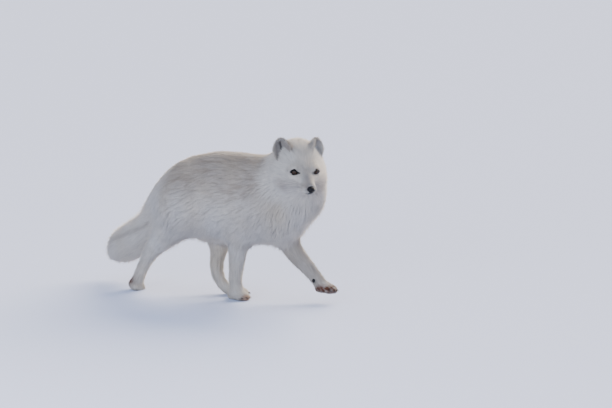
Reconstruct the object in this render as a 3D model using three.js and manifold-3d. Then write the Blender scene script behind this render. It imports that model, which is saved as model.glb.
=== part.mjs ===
// Arctic fox in its white winter coat, walking, with the head turned to its right side, life-size.
// Millimetres, +Z up, +X towards the chest, +Y to the animal's left. The solids reach the tips of the coat.
//
// One distance field describes the whole animal: chains of balls for the trunk, neck, tail and legs,
// and a few ellipsoids for the skull. It is meshed once per part, and flat cuts divide the parts.
import * as THREE from "three";
import { mergeVertices } from "three/addons/utils/BufferGeometryUtils.js";
import Module from "manifold-3d";

const wasm = await Module();
wasm.setup();

// ---- Driving dimensions ----
const CUT_GAP = 0.4; // between neighbouring solids
const FOLD_GAP = 0.1; // where one solid would touch itself
const FLOOR_PRESS = 2.5; // how far a standing paw is flattened

// Trunk: balls along the spine, as [x, y, z, radius], rump to chest.
const TRUNK_FLATTEN = 1.06; // the body is this much taller than wide
const TRUNK = [
  [-182, 0, 194, 49],
  [-154, 0, 202, 68],
  [-116, 0, 215, 90],
  [-60, 0, 223, 99],
  [0, 0, 226, 97],
  [48, 0, 221, 93],
  [82, 0, 203, 74],
];
// Neck and its ruff, from between the shoulders to the back of the skull.
const NECK = [
  [52, 0, 236, 73],
  [92, -2, 254, 67],
  [122, -6, 292, 62],
  [137, -9, 314, 56],
];
const RUFF = [
  [92, -2, 196, 60],
  [122, -4, 216, 53],
  [146, -4, 240, 56],
  [152, -14, 270, 56],
];
const TAIL = [
  [-176, 0, 204, 47],
  [-209, 4, 175, 40],
  [-240, 18, 141, 37],
  [-285, 38, 106, 42],
  [-328, 58, 82, 40],
  [-356, 68, 65, 27],
];

// Limbs, from the body down to the joint above the paw. Each is parted from the trunk at cut.at, inside a
// square shaft that reaches so far behind and ahead of it, and inwards to the plane Y = cut.inner.
const LIMBS = {
  fore_leg_right: {
    chain: [
      [48, -52, 205, 46],
      [16, -44, 158, 34],
      [4, -33, 120, 23],
      [-2, -29, 82, 18.8],
      [-6, -28, 50, 16],
      [-5, -27, 24, 15.5],
    ],
    cut: { at: [6, -36, 128], towards: [-0.1, 0.1, -1], reach: [40, 40], inner: -4.5 },
  },
  fore_leg_left: {
    chain: [
      [70, 50, 205, 46],
      [80, 42, 158, 33],
      [97, 32, 124, 24],
      [121, 28, 97, 20.5],
      [147, 27, 73, 17.5],
      [165, 27, 55, 15.5],
      [178, 27, 43, 14],
    ],
    cut: { at: [104, 34, 130], towards: [0.8, -0.1, -1], reach: [44, 44], inner: 1 },
  },
  hind_leg_right: {
    chain: [
      [-126, -44, 205, 55],
      [-148, -44, 168, 43],
      [-183, -36, 126, 29],
      [-214, -30, 92, 20.5],
      [-235, -28, 60, 16],
      [-248, -27, 32, 14.5],
      [-256, -27, 17, 14.5],
    ],
    cut: { at: [-180, -38, 120], towards: [-0.62, 0.1, -1], reach: [30, 60], inner: -1 },
  },
  hind_leg_left: {
    chain: [
      [-112, 44, 205, 55],
      [-91, 44, 154, 45],
      [-79, 35, 116, 27],
      [-80, 27, 80, 18],
      [-80, 22, 52, 16.5],
      [-71, 19, 32, 14.5],
      [-58, 17, 18, 13.5],
    ],
    cut: { at: [-72, 36, 118], towards: [0, 0, -1], reach: [50, 90], inner: -4.5 },
  },
};

// Paws: middle of the sole, heading and pitch in degrees, and the size with its fur.
const PAWS = {
  fore_paw_right: { at: [1, -27, 0], heading: -14, pitch: 0, length: 61 },
  fore_paw_left: { at: [190, 27, 24], heading: -6, pitch: 2, length: 59 },
  hind_paw_right: { at: [-259, -27, 0], heading: -6, pitch: 34, length: 42 },
  hind_paw_left: { at: [-26, 16, 0], heading: -2, pitch: 0, length: 61 },
};
const PAW = { length: 56, width: 37, height: 26, toe: 7.4 };

// Head: where the point midway between the eyes is, and how the head is turned, in degrees.
const HEAD = { at: [186.6, -65.5, 307.2], turn: -42.5, nod: 13, roll: 2.4 };
const EYE = { at: [-1, 22.3, 0], radius: 9.6, outward: 32, slant: -4, opening: [6, 12, 5.4] };
const NOSE = { at: [53, 0, -21.5], size: [7.6, 9, 8] };
const EAR = {
  at: [-48, 38.5, 29],
  lean: [-12, 7, 34],
  outward: 24,
  height: 60,
  width: 38,
  depth: 26,
  rim: 7,
};

// ---- Distance fields ----
const v3 = (a) => new THREE.Vector3(...a);
const mix = (a, b, t) => a + (b - a) * t;
const hold = (t) => Math.min(1, Math.max(0, t));

function blend(a, b, reach) {
  const h = Math.max(reach - Math.abs(a - b), 0) / reach;
  return Math.min(a, b) - (h * h * reach) / 4;
}

// A chain of balls, passed through smoothly, as a tapering tube. flatten squeezes it across Y.
function tube(stations, flatten = 1, steps = 5) {
  const path = new THREE.CatmullRomCurve3(stations.map((s) => v3(s)), false, "centripetal");
  const girth = new THREE.SplineCurve(stations.map((s, i) => new THREE.Vector2(i, s[3])));
  const count = (stations.length - 1) * steps;
  const balls = Array.from({ length: count + 1 }, (_, i) => {
    const c = path.getPoint(i / count);
    return [c.x, c.y, c.z, girth.getPoint(i / count).y];
  });
  return (x, y, z) => {
    let best = Infinity;
    for (let i = 0; i < count; i++) {
      const [ax, ay, az, ar] = balls[i];
      const [bx, by, bz, br] = balls[i + 1];
      const dx = bx - ax;
      const dy = (by - ay) * flatten;
      const dz = bz - az;
      const px = x - ax;
      const py = (y - ay) * flatten;
      const pz = z - az;
      const t = hold((px * dx + py * dy + pz * dz) / (dx * dx + dy * dy + dz * dz));
      const d = Math.hypot(px - dx * t, py - dy * t, pz - dz * t) - mix(ar, br, t);
      if (d < best) best = d;
    }
    return best;
  };
}

function ellipsoid([cx, cy, cz], [rx, ry, rz]) {
  const least = Math.min(rx, ry, rz);
  return (x, y, z) => {
    const k = Math.hypot((x - cx) / rx, (y - cy) / ry, (z - cz) / rz);
    return (k - 1) * mix(least, Math.max(rx, ry, rz), 0.3);
  };
}

// A field drawn in its own frame, placed in the world by a matrix.
function placed(field, matrix) {
  const e = matrix.clone().invert().elements;
  return (x, y, z) =>
    field(
      e[0] * x + e[4] * y + e[8] * z + e[12],
      e[1] * x + e[5] * y + e[9] * z + e[13],
      e[2] * x + e[6] * y + e[10] * z + e[14],
    );
}

function frameAt(at, turn, nod = 0, roll = 0) {
  const rad = THREE.MathUtils.degToRad;
  const m = new THREE.Matrix4().makeRotationZ(rad(turn));
  m.multiply(new THREE.Matrix4().makeRotationY(rad(nod)));
  m.multiply(new THREE.Matrix4().makeRotationX(rad(roll)));
  return m.setPosition(...at);
}

// ---- Head, in a frame with +X along the muzzle and its origin between the eyes ----
const HEAD_FRAME = frameAt(HEAD.at, HEAD.turn, HEAD.nod, -HEAD.roll);

function headField() {
  const skull = ellipsoid([-48, 0, 4], [45, 48, 41]);
  const brow = ellipsoid([-21, 0, 2], [28, 31, 22]);
  const muzzle = tube([
    [-14, 0, -14, 24],
    [10, 0, -14, 18.5],
    [34, 0, -19, 14],
    [46, 0, -21, 12],
  ]);
  const jaw = tube([
    [-30, 0, -34, 22],
    [6, 0, -34, 13],
    [32, 0, -34, 8.5],
    [39, 0, -33, 7],
  ]);
  const sides = [-1, 1].map((s) => {
    const cheek = tube([
      [0, s * 20, -17, 14],
      [-26, s * 33, -22, 24],
      [-52, s * 36, -20, 27],
    ]);
    const lip = ellipsoid([36, s * 8, -26], [15, 10, 9]);
    const orbit = ellipsoid([-6, s * 21, 0], [15, 14, 13]);
    return { cheek, lip, orbit };
  });
  return (x, y, z) => {
    let d = blend(skull(x, y, z), brow(x, y, z), 16);
    d = blend(d, muzzle(x, y, z), 12);
    d = blend(d, jaw(x, y, z), 6);
    for (const { cheek, lip, orbit } of sides) {
      d = blend(d, cheek(x, y, z), 14);
      d = blend(d, lip(x, y, z), 6);
      d = blend(d, orbit(x, y, z), 8);
    }
    return d;
  };
}

// The frame of one eye, with +X along its gaze and +Y towards its outer corner, raised by the slant.
function eyeFrame(s) {
  const [x, y, z] = EYE.at;
  return HEAD_FRAME.clone().multiply(frameAt([x, s * y, z], s * EYE.outward, 0, s * EYE.slant));
}

function earField(s) {
  const { at, lean, outward, height, width, depth, rim } = EAR;
  const up = v3([lean[0], s * lean[1], lean[2]]).normalize();
  const turn = THREE.MathUtils.degToRad(outward);
  const open = v3([Math.cos(turn), s * Math.sin(turn), 0]).projectOnPlane(up).normalize();
  const across = new THREE.Vector3().crossVectors(up, open);
  const frame = new THREE.Matrix4().makeBasis(open, across, up).setPosition(at[0], s * at[1], at[2]);
  const outer = ellipsoid([0, 0, 0], [depth / 2, width / 2, height / 2]);
  const scoop = ellipsoid([depth * 0.5, 0, 2], [depth * 0.45, width / 2 - rim, height / 2 - rim]);
  return placed((x, y, z) => -blend(-outer(x, y, z), scoop(x, y, z), 3), frame);
}

// ---- Paws, in a frame with +X to the toes and the sole on Z = 0 ----
function pawField({ at, heading, pitch, length = PAW.length }) {
  const { width, height, toe } = PAW;
  const sole = -FLOOR_PRESS;
  const heel = [-length * 0.16, 0, height * 0.42 + sole];
  const back = ellipsoid(heel, [length * 0.34, width * 0.43, height * 0.46]);
  const toes = [-1.5, -0.5, 0.5, 1.5].map((k) => {
    const reach = length * (Math.abs(k) < 1 ? 0.5 : 0.4) - toe;
    return tube([
      [-length * 0.1, k * width * 0.17, height * 0.5, toe],
      [reach * 0.6, k * width * 0.225, toe * 1.25 + sole + 2, toe * 1.06],
      [reach, k * width * 0.235, toe + sole, toe * 0.96],
    ], 1, 3);
  });
  const shape = (x, y, z) => {
    let d = back(x, y, z);
    for (const t of toes) d = blend(d, t(x, y, z), 3);
    return d;
  };
  return placed(shape, frameAt(at, heading, pitch));
}

// ---- The whole animal ----
const trunk = tube(TRUNK, TRUNK_FLATTEN);
const neck = tube(NECK);
const ruff = tube(RUFF);
const tail = tube(TAIL);
const head = placed(headField(), HEAD_FRAME);
const limbs = Object.entries(LIMBS).map(([name, limb]) => {
  const leg = tube(limb.chain);
  const paw = pawField(PAWS[name.replace("leg", "paw")]);
  return (x, y, z) => blend(leg(x, y, z), paw(x, y, z), 7);
});

function torsoField(x, y, z) {
  let d = blend(trunk(x, y, z), neck(x, y, z), 34);
  d = blend(d, ruff(x, y, z), 26);
  d = blend(d, tail(x, y, z), 26);
  return blend(d, head(x, y, z), 20);
}

function foxField(x, y, z) {
  const torso = torsoField(x, y, z);
  let d = torso;
  for (const limb of limbs) d = Math.min(d, blend(torso, limb(x, y, z), 24));
  return d;
}

// ---- Meshing: surface nets on a grid, then one step of each vertex onto the surface ----
function meshOf(field, low, high, cell) {
  const n = low.map((l, i) => Math.ceil((high[i] - l) / cell) + 3);
  const at = (i, axis) => low[axis] + (i - 1) * cell;
  const clipped = (x, y, z) => {
    const out = Math.max(low[0] - x, x - high[0], low[1] - y, y - high[1], low[2] - z, z - high[2]);
    return Math.max(field(x, y, z), out);
  };
  const index = (i, j, k) => (k * n[1] + j) * n[0] + i;
  const value = new Float32Array(n[0] * n[1] * n[2]);
  for (let k = 0; k < n[2]; k++)
    for (let j = 0; j < n[1]; j++)
      for (let i = 0; i < n[0]; i++) value[index(i, j, k)] = clipped(at(i, 0), at(j, 1), at(k, 2));

  const corners = [0, 1, 2, 3, 4, 5, 6, 7].map((c) => [c & 1, (c >> 1) & 1, (c >> 2) & 1]);
  const edges = [];
  for (let a = 0; a < 8; a++) for (const bit of [1, 2, 4]) if (!(a & bit)) edges.push([a, a | bit]);
  const vertexOf = new Int32Array(value.length).fill(-1);
  const points = [];
  for (let k = 0; k < n[2] - 1; k++)
    for (let j = 0; j < n[1] - 1; j++)
      for (let i = 0; i < n[0] - 1; i++) {
        const f = corners.map(([a, b, c]) => value[index(i + a, j + b, k + c)]);
        const inside = f.filter((d) => d < 0).length;
        if (inside === 0 || inside === 8) continue;
        const sum = [0, 0, 0];
        let crossings = 0;
        for (const [a, b] of edges) {
          if (f[a] < 0 === f[b] < 0) continue;
          const t = f[a] / (f[a] - f[b]);
          for (let axis = 0; axis < 3; axis++) sum[axis] += mix(corners[a][axis], corners[b][axis], t);
          crossings++;
        }
        vertexOf[index(i, j, k)] = points.length / 3;
        [i, j, k].forEach((g, axis) => points.push(at(g + sum[axis] / crossings, axis)));
      }
  settle(points, clipped, cell);

  const faces = [];
  const steps = [[1, 0, 0], [0, 1, 0], [0, 0, 1]];
  for (let k = 1; k < n[2] - 1; k++)
    for (let j = 1; j < n[1] - 1; j++)
      for (let i = 1; i < n[0] - 1; i++)
        steps.forEach(([a, b, c], axis) => {
          const here = value[index(i, j, k)] < 0;
          if (here === value[index(i + a, j + b, k + c)] < 0) return;
          const [u, w] = [steps[(axis + 1) % 3], steps[(axis + 2) % 3]];
          const quad = [[0, 0], [1, 0], [1, 1], [0, 1]].map(([p, q]) =>
            vertexOf[index(i - u[0] * p - w[0] * q, j - u[1] * p - w[1] * q, k - u[2] * p - w[2] * q)],
          );
          if (!here) quad.reverse();
          faces.push(quad[0], quad[1], quad[2], quad[0], quad[2], quad[3]);
        });
  return solidFrom(new Float32Array(points), new Uint32Array(faces));
}

// Moves each point along the field's slope onto its zero, by at most a third of a cell.
function settle(points, field, cell) {
  const h = cell * 0.1;
  for (let p = 0; p < points.length; p += 3) {
    const [x, y, z] = points.slice(p, p + 3);
    const d = field(x, y, z);
    const slope = v3([
      field(x + h, y, z) - field(x - h, y, z),
      field(x, y + h, z) - field(x, y - h, z),
      field(x, y, z + h) - field(x, y, z - h),
    ]).divideScalar(2 * h);
    const move = THREE.MathUtils.clamp(-d / Math.max(slope.length(), 0.5), -cell / 3, cell / 3);
    slope.normalize().multiplyScalar(move);
    points[p] += slope.x;
    points[p + 1] += slope.y;
    points[p + 2] += slope.z;
  }
}

function solidFrom(vertProperties, triVerts) {
  return new wasm.Manifold(new wasm.Mesh({ numProp: 3, vertProperties, triVerts }));
}

function solidOf(geometry, matrix) {
  const bare = geometry.clone().deleteAttribute("normal").deleteAttribute("uv");
  const merged = mergeVertices(bare.applyMatrix4(matrix));
  return solidFrom(merged.attributes.position.array, new Uint32Array(merged.index.array));
}

// Everything on the side of a plane that its direction points to, starting at the plane plus an offset.
function beyond(at, towards, offset = 0) {
  const size = 1600;
  const n = v3(towards).normalize();
  const turn = new THREE.Quaternion().setFromUnitVectors(new THREE.Vector3(0, 0, 1), n);
  const centre = v3(at).addScaledVector(n, size / 2 + offset);
  const matrix = new THREE.Matrix4().compose(centre, turn, new THREE.Vector3(1, 1, 1));
  return solidOf(new THREE.BoxGeometry(size, size, size), matrix);
}

// ---- Where the parts are divided ----
const inHead = (at, towards) => ({
  at: v3(at).applyMatrix4(HEAD_FRAME).toArray(),
  towards: v3(towards).transformDirection(HEAD_FRAME).toArray(),
});
const NECK_CUT = { at: [84, 0, 262], towards: [0.93, -0.05, 0.45] };
const HEAD_CUT = inHead([-50, 0, -16], [0.74, 0, 0.67]);
const MUZZLE_CUT = inHead([13, 0, -12], [1, 0, -0.1]);
const TAIL_CUT = { at: [-206, 4, 176], towards: [-0.78, 0.1, -0.6] };

const CELLS = { trunk: 22, neck: 16.5, head: 12.4, muzzle: 6.2, tail: 17.6, leg: 12, paw: 7.8, ear: 6 };
const FLOOR = beyond([0, 0, 0], [0, 0, -1]);

const SHAFT = { wide: 160, long: 300 };

// The room a limb has below its cut, drawn in by an offset on every side.
function limbRoom(name, offset) {
  const { at, towards, reach, inner } = LIMBS[name].cut;
  const axis = v3(towards).normalize();
  const forward = v3([1, 0, 0]).projectOnPlane(axis).normalize();
  const side = new THREE.Vector3().crossVectors(axis, forward);
  const frame = new THREE.Matrix4().makeBasis(forward, side, axis).setPosition(...at);
  const length = reach[0] + reach[1] - 2 * offset;
  const shape = new THREE.BoxGeometry(length, SHAFT.wide, SHAFT.long);
  shape.translate((reach[1] - reach[0]) / 2, 0, SHAFT.long / 2 + offset);
  return solidOf(shape, frame).intersect(beyond([0, inner, 0], [0, at[1], 0], offset));
}

const names = Object.keys(LIMBS);
const rooms = names.map((name) => limbRoom(name, 0));
const withoutLimbs = (solid) => rooms.reduce((s, room) => s.subtract(room), solid);
const between = (solid, start, end) => {
  const kept = start ? solid.intersect(beyond(start.at, start.towards, CUT_GAP)) : solid;
  return end ? kept.subtract(beyond(end.at, end.towards)) : kept;
};
const largest = (solid) => solid.decompose().sort((a, b) => b.volume() - a.volume())[0];
const meshPart = (low, high, cell) => withoutLimbs(meshOf(foxField, low, high, cell));

// The low and high corner of the box each piece of the torso is meshed in.
const BOXES = {
  trunk: [[-260, -110, 100], [200, 110, 340]],
  tail: [[-400, -70, 30], [-160, 130, 260]],
  neck: [[20, -110, 110], [230, 110, 400]],
  head: [[90, -170, 170], [260, 60, 400]],
  muzzle: [[170, -150, 230], [260, -50, 330]],
};
// How far the meshed boxes of legs, paws and ears reach round their middles.
const LEG_ROOM = { paw: 36, around: 30, under: 12 };
const PAW_ROOM = { around: 46, under: 14, over: 60 };
const EAR_ROOM = 48;

const parts = {};
const pieceOf = (name) => meshPart(...BOXES[name], CELLS[name]);
parts.trunk = between(pieceOf("trunk"), null, NECK_CUT).subtract(beyond(TAIL_CUT.at, TAIL_CUT.towards));
parts.tail = between(pieceOf("tail"), TAIL_CUT, null);
parts.neck = between(pieceOf("neck"), NECK_CUT, HEAD_CUT);
parts.head = between(pieceOf("head"), HEAD_CUT, MUZZLE_CUT);
parts.muzzle = between(pieceOf("muzzle"), MUZZLE_CUT, null);

for (const name of names) {
  const paw = PAWS[name.replace("leg", "paw")];
  const chain = LIMBS[name].chain;
  const ankle = chain[chain.length - 1];
  const down = v3(paw.at).add(v3([0, 0, 8])).sub(v3(ankle)).normalize().toArray();
  const room = limbRoom(name, CUT_GAP);
  const reach = [0, 1, 2].map((axis) => chain.slice(1).map((s) => s[axis]));
  const low = reach.map((r, axis) => Math.min(...r, paw.at[axis] - LEG_ROOM.paw) - LEG_ROOM.around);
  const high = reach.map((r, axis) => Math.max(...r, paw.at[axis] + LEG_ROOM.paw) + LEG_ROOM.around);
  low[2] = Math.max(low[2], -LEG_ROOM.under);
  const leg = meshOf(foxField, low, high, CELLS.leg).intersect(room).subtract(beyond(ankle, down));
  parts[name] = largest(leg.subtract(FLOOR));
  const pawLow = paw.at.map((c, axis) => c - (axis === 2 ? PAW_ROOM.under : PAW_ROOM.around));
  const pawHigh = paw.at.map((c, axis) => c + (axis === 2 ? PAW_ROOM.over : PAW_ROOM.around));
  const foot = meshOf(foxField, pawLow, pawHigh, CELLS.paw).intersect(room);
  parts[name.replace("leg", "paw")] = largest(foot.intersect(beyond(ankle, down, CUT_GAP)).subtract(FLOOR));
}

// ---- Features of the head that are pieces of their own ----
const aroundHead = meshOf((x, y, z) => foxField(x, y, z) - CUT_GAP, ...BOXES.head, CELLS.head);
for (const [name, s] of [["left", 1], ["right", -1]]) {
  const field = placed(earField(s), HEAD_FRAME);
  const at = v3([EAR.at[0], s * EAR.at[1], EAR.at[2]]).applyMatrix4(HEAD_FRAME).toArray();
  const ear = meshOf(field, at.map((c) => c - EAR_ROOM), at.map((c) => c + EAR_ROOM), CELLS.ear);
  parts["ear_" + name] = largest(ear.subtract(aroundHead));

  const ball = (grow) => solidOf(new THREE.IcosahedronGeometry(EYE.radius + grow, 2), eyeFrame(s));
  const lids = new THREE.SphereGeometry(1, 16, 10).scale(...EYE.opening).translate(EYE.radius, 0, 0);
  parts["eye_" + name] = ball(0);
  parts.head = parts.head.subtract(ball(CUT_GAP)).subtract(solidOf(lids, eyeFrame(s)));
}
const noseBall = (grow) => {
  const shape = new THREE.SphereGeometry(1, 12, 8).scale(...NOSE.size.map((r) => r + grow));
  return solidOf(shape.translate(...NOSE.at), HEAD_FRAME);
};
parts.nose = noseBall(0);
parts.muzzle = parts.muzzle.subtract(noseBall(CUT_GAP));

// ---- Materials and the exported group ----
const MATERIALS = {
  coat: new THREE.MeshStandardMaterial({ color: 0xe4e2de, roughness: 0.95, metalness: 0 }),
  eye: new THREE.MeshStandardMaterial({ color: 0x2a1710, roughness: 0.12, metalness: 0 }),
  nose: new THREE.MeshStandardMaterial({ color: 0x141416, roughness: 0.45, metalness: 0 }),
};

// Where a fold touches itself at one point, its corners are drawn a little back into their own sides.
function openFolds({ vertProperties: points, triVerts: corners }) {
  const corner = (i) => v3(points.slice(3 * i, 3 * i + 3));
  const twins = new Map();
  for (let i = 0; i < points.length / 3; i++) {
    const key = corner(i).toArray().join();
    twins.set(key, [...(twins.get(key) ?? []), i]);
  }
  for (const group of twins.values()) {
    if (group.length < 2) continue;
    for (const i of group) {
      const middle = new THREE.Vector3();
      let count = 0;
      for (let t = 0; t < corners.length; t += 3) {
        const face = [...corners.slice(t, t + 3)];
        if (!face.includes(i)) continue;
        face.forEach((c) => middle.add(corner(c)));
        count += 3;
      }
      const step = middle.divideScalar(count).sub(corner(i)).setLength(FOLD_GAP);
      step.toArray().forEach((d, axis) => (points[3 * i + axis] += d));
    }
  }
}

const body = new THREE.Group();
for (const [name, solid] of Object.entries(parts)) {
  const skin = solid.getMesh();
  openFolds(skin);
  const { vertProperties, triVerts } = skin;
  const geometry = new THREE.BufferGeometry()
    .setAttribute("position", new THREE.BufferAttribute(vertProperties, 3))
    .setIndex(new THREE.BufferAttribute(triVerts, 1));
  geometry.computeVertexNormals();
  const mesh = new THREE.Mesh(geometry, MATERIALS[name.split("_")[0]] ?? MATERIALS.coat);
  mesh.name = name;
  body.add(mesh);
}

// The origin is on the floor, at the middle of the whole animal.
const extent = new THREE.Box3().setFromObject(body);
const middle = extent.getCenter(new THREE.Vector3());
body.position.set(-middle.x, -middle.y, -extent.min.z);
const fox = new THREE.Group();
fox.add(body);

export default fox;
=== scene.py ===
import math

import bmesh
import bpy
import numpy as np
from mathutils import Matrix, Vector
from mathutils.bvhtree import BVHTree
from mathutils.kdtree import KDTree


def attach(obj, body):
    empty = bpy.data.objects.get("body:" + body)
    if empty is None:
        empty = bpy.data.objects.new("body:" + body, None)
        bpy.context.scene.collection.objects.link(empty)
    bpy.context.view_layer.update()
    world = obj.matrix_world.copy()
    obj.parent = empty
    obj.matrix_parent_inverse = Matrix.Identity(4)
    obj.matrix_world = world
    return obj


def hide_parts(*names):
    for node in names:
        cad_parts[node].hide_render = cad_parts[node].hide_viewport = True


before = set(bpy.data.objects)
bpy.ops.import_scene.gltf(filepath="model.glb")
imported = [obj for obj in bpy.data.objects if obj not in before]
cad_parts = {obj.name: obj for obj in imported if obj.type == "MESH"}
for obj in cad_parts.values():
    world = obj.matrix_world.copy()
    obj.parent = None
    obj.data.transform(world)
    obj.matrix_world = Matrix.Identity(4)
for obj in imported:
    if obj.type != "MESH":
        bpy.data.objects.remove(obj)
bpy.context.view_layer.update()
rng = np.random.default_rng(7)

# ---- Where the animal's parts are, in metres. The solids' own numbers, moved so that the origin is on the
# floor under the middle of the box. ----
MIDDLE = Vector((0.077134, 0.003378, 0.0))


def at(x, y, z):
    """A place given in the solids' millimetres."""
    return Vector((x, y, z)) / 1000 + MIDDLE


def turned(place, turn, nod=0.0, roll=0.0):
    """A frame with +X turned from the body's own, in degrees, then nodded down and rolled."""
    turns = Matrix.Identity(4)
    for angle, axis in ((turn, "Z"), (nod, "Y"), (roll, "X")):
        turns = turns @ Matrix.Rotation(math.radians(angle), 4, axis)
    return Matrix.Translation(place) @ turns


HEAD = turned(at(186.6, -65.5, 307.2), -42.5, 13, -2.4)
EYE_RADIUS = 0.0096
EYES = {s: HEAD @ turned(Vector((-0.001, s * 0.0223, 0.0)), s * 25, 0, s * 1) for s in (1, -1)}
NOSE = Vector((0.053, 0.0, -0.0215))
NOSE_SIZE = Vector((0.0076, 0.0085, 0.0078))
PAWS = {
    "fore_paw_right": (turned(at(1, -27, 0), -14), 0.061),
    "fore_paw_left": (turned(at(190, 27, 24), -6, 2), 0.059),
    "hind_paw_right": (turned(at(-259, -27, 0), -6, 34), 0.042),
    "hind_paw_left": (turned(at(-26, 16, 0), -2), 0.061),
}
PAW_WIDTH = 0.037
TOE = 0.0074  # a toe's radius
EAR_SPREAD = math.radians(24)  # how far the ears' openings turn out from straight ahead


def ear_frame(s):
    """An ear's own frame: +X out of its opening, +Z to its tip."""
    up = Vector((-12, s * 7, 34)).normalized()
    opening = Vector((math.cos(EAR_SPREAD), s * math.sin(EAR_SPREAD), 0))
    opening = (opening - up * opening.dot(up)).normalized()
    across = up.cross(opening)
    turn = Matrix((opening, across, up)).transposed().to_4x4()
    return HEAD @ Matrix.Translation(Vector((-0.048, s * 0.0385, 0.029))) @ turn


EARS = {s: ear_frame(s) for s in (1, -1)}
EAR_HALF = Vector((0.0112, 0.0172, 0.0272))  # the bare ear, half its depth, width and height

# For each part: the coat's depth, its tufts' length and width in metres, tufts per mm2, the share of the depth that
# only single hairs fill, and how far loose hairs stand out in metres.
COAT = {
    "trunk": (0.023, 0.042, 0.0015, 0.30, 0.08, 0.0036),
    "neck": (0.024, 0.042, 0.0015, 0.32, 0.14, 0.0046),
    "tail": (0.019, 0.040, 0.0015, 0.52, 0.06, 0.0070),
    "head": (0.0088, 0.018, 0.0011, 0.62, 0.09, 0.0020),
    "muzzle": (0.0032, 0.0065, 0.0008, 1.3, 0.05, 0.0003),
    "ear": (0.0034, 0.0085, 0.0009, 1.1, 0.05, 0.0022),
    "fore_leg": (0.0066, 0.016, 0.0012, 0.50, 0.07, 0.0018),
    "hind_leg": (0.0074, 0.018, 0.0012, 0.48, 0.07, 0.0020),
    "paw": (0.0036, 0.0080, 0.0010, 0.85, 0.05, 0.0006),
}
STRAYS = 0.30  # the share of tufts that stand out as loose hair
LONGEST_STRAY = 2.3  # how many times the usual the longest of them stand out
BELLY_STRAYS = 1.3  # how much further they stand out under the belly
BELLY_HANG = 0.0075  # how far the belly's hair hangs
WAIST = -124  # how far along the body the belly is drawn up, in the solids' mm
LOCK = 26  # how many tufts draw together into a lock
FLESH = [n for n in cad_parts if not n.startswith(("eye", "nose", "ear"))]
REGIONS = [next(r for r in COAT if r in name) for name in FLESH] + ["ear"]


# ---- Small tools ----
def linear(hex_code):
    """An sRGB hex colour as linear RGBA."""
    values = [int(hex_code[i : i + 2], 16) / 255 for i in (0, 2, 4)]
    return tuple(v / 12.92 if v <= 0.04045 else ((v + 0.055) / 1.055) ** 2.4 for v in values) + (1.0,)


def rgb(hex_code):
    return np.array(linear(hex_code)[:3])


def step(x, low, high):
    """A smooth step from 0 at low to 1 at high."""
    t = np.clip((np.asarray(x, float) - low) / (high - low), 0, 1)
    return t * t * (3 - 2 * t)


def unit(v):
    return v / np.maximum(np.linalg.norm(v, axis=-1, keepdims=True), 1e-12)


def into(matrix, points):
    """Points of the row frame in the coordinates of another frame."""
    m = np.array(matrix.inverted())
    return points @ m[:3, :3].T + m[:3, 3]


def out_of(matrix, points):
    m = np.array(matrix)
    return points @ m[:3, :3].T + m[:3, 3]


def ripple(points, size, seed):
    """Smooth random values of about -1 to 1 that change over a given size, the same on every run."""
    r = np.random.default_rng(seed)
    waves = unit(r.normal(size=(14, 3))) * (2 * math.pi / size) * r.uniform(0.6, 1.4, (14, 1))
    return np.sin(points @ waves.T + r.uniform(0, 2 * math.pi, 14)).sum(axis=1) / 3.2


def far_from(points, place):
    return np.linalg.norm(points - np.array(place), axis=1)


def nearest(stops, points):
    """The number of the stop nearest to each point, and how far it is."""
    tree = KDTree(len(stops))
    for i, stop in enumerate(stops):
        tree.insert(Vector(stop), i)
    tree.balance()
    number, gap = zip(*(tree.find(Vector(p))[1:] for p in points))
    return np.array(number), np.array(gap)


def new_object(name, mesh, material=None, smooth=True):
    if material is not None:
        mesh.materials.append(material)
    mesh.polygons.foreach_set("use_smooth", [smooth] * len(mesh.polygons))
    obj = bpy.data.objects.new(name, mesh)
    bpy.context.scene.collection.objects.link(obj)
    return obj


def from_bmesh(name, bm, material, smooth=True):
    mesh = bpy.data.meshes.new(name)
    bmesh.ops.recalc_face_normals(bm, faces=bm.faces)
    bm.to_mesh(mesh)
    bm.free()
    return new_object(name, mesh, material, smooth)


def ball(around, rings, radius=1.0):
    bm = bmesh.new()
    bmesh.ops.create_uvsphere(bm, u_segments=around, v_segments=rings, radius=radius)
    return bm


def take_in(whole, part):
    """Adds one shape to another and frees it."""
    mesh = bpy.data.meshes.new("part")
    part.to_mesh(mesh)
    part.free()
    whole.from_mesh(mesh)
    bpy.data.meshes.remove(mesh)


def coords(mesh, what="co"):
    """The vertices' places, or their normals."""
    co = np.empty(len(mesh.vertices) * 3, np.float32)
    mesh.vertices.foreach_get(what, co)
    return co.reshape(-1, 3).astype(float)


def set_coords(mesh, co):
    mesh.vertices.foreach_set("co", co.astype(np.float32).ravel())
    mesh.update()


class Neighbours:
    """The edges of a mesh, to average values over each vertex's neighbours."""

    def __init__(self, mesh):
        e = np.empty(len(mesh.edges) * 2, np.int32)
        mesh.edges.foreach_get("vertices", e)
        e = e.reshape(-1, 2)
        self.a = np.concatenate([e[:, 0], e[:, 1]])
        self.b = np.concatenate([e[:, 1], e[:, 0]])
        self.count = len(mesh.vertices)
        self.degree = np.maximum(np.bincount(self.a, minlength=self.count), 1)

    def mean(self, values):
        v = values if values.ndim == 2 else values[:, None]
        out = np.stack([np.bincount(self.a, v[self.b, k], self.count) for k in range(v.shape[1])], axis=1)
        out /= self.degree[:, None]
        return out if values.ndim == 2 else out[:, 0]

    def smooth(self, values, rounds, amount=0.5):
        for _ in range(rounds):
            share = amount[:, None] if np.ndim(amount) and values.ndim == 2 else amount
            values = values + (self.mean(values) - values) * share
        return values


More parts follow.
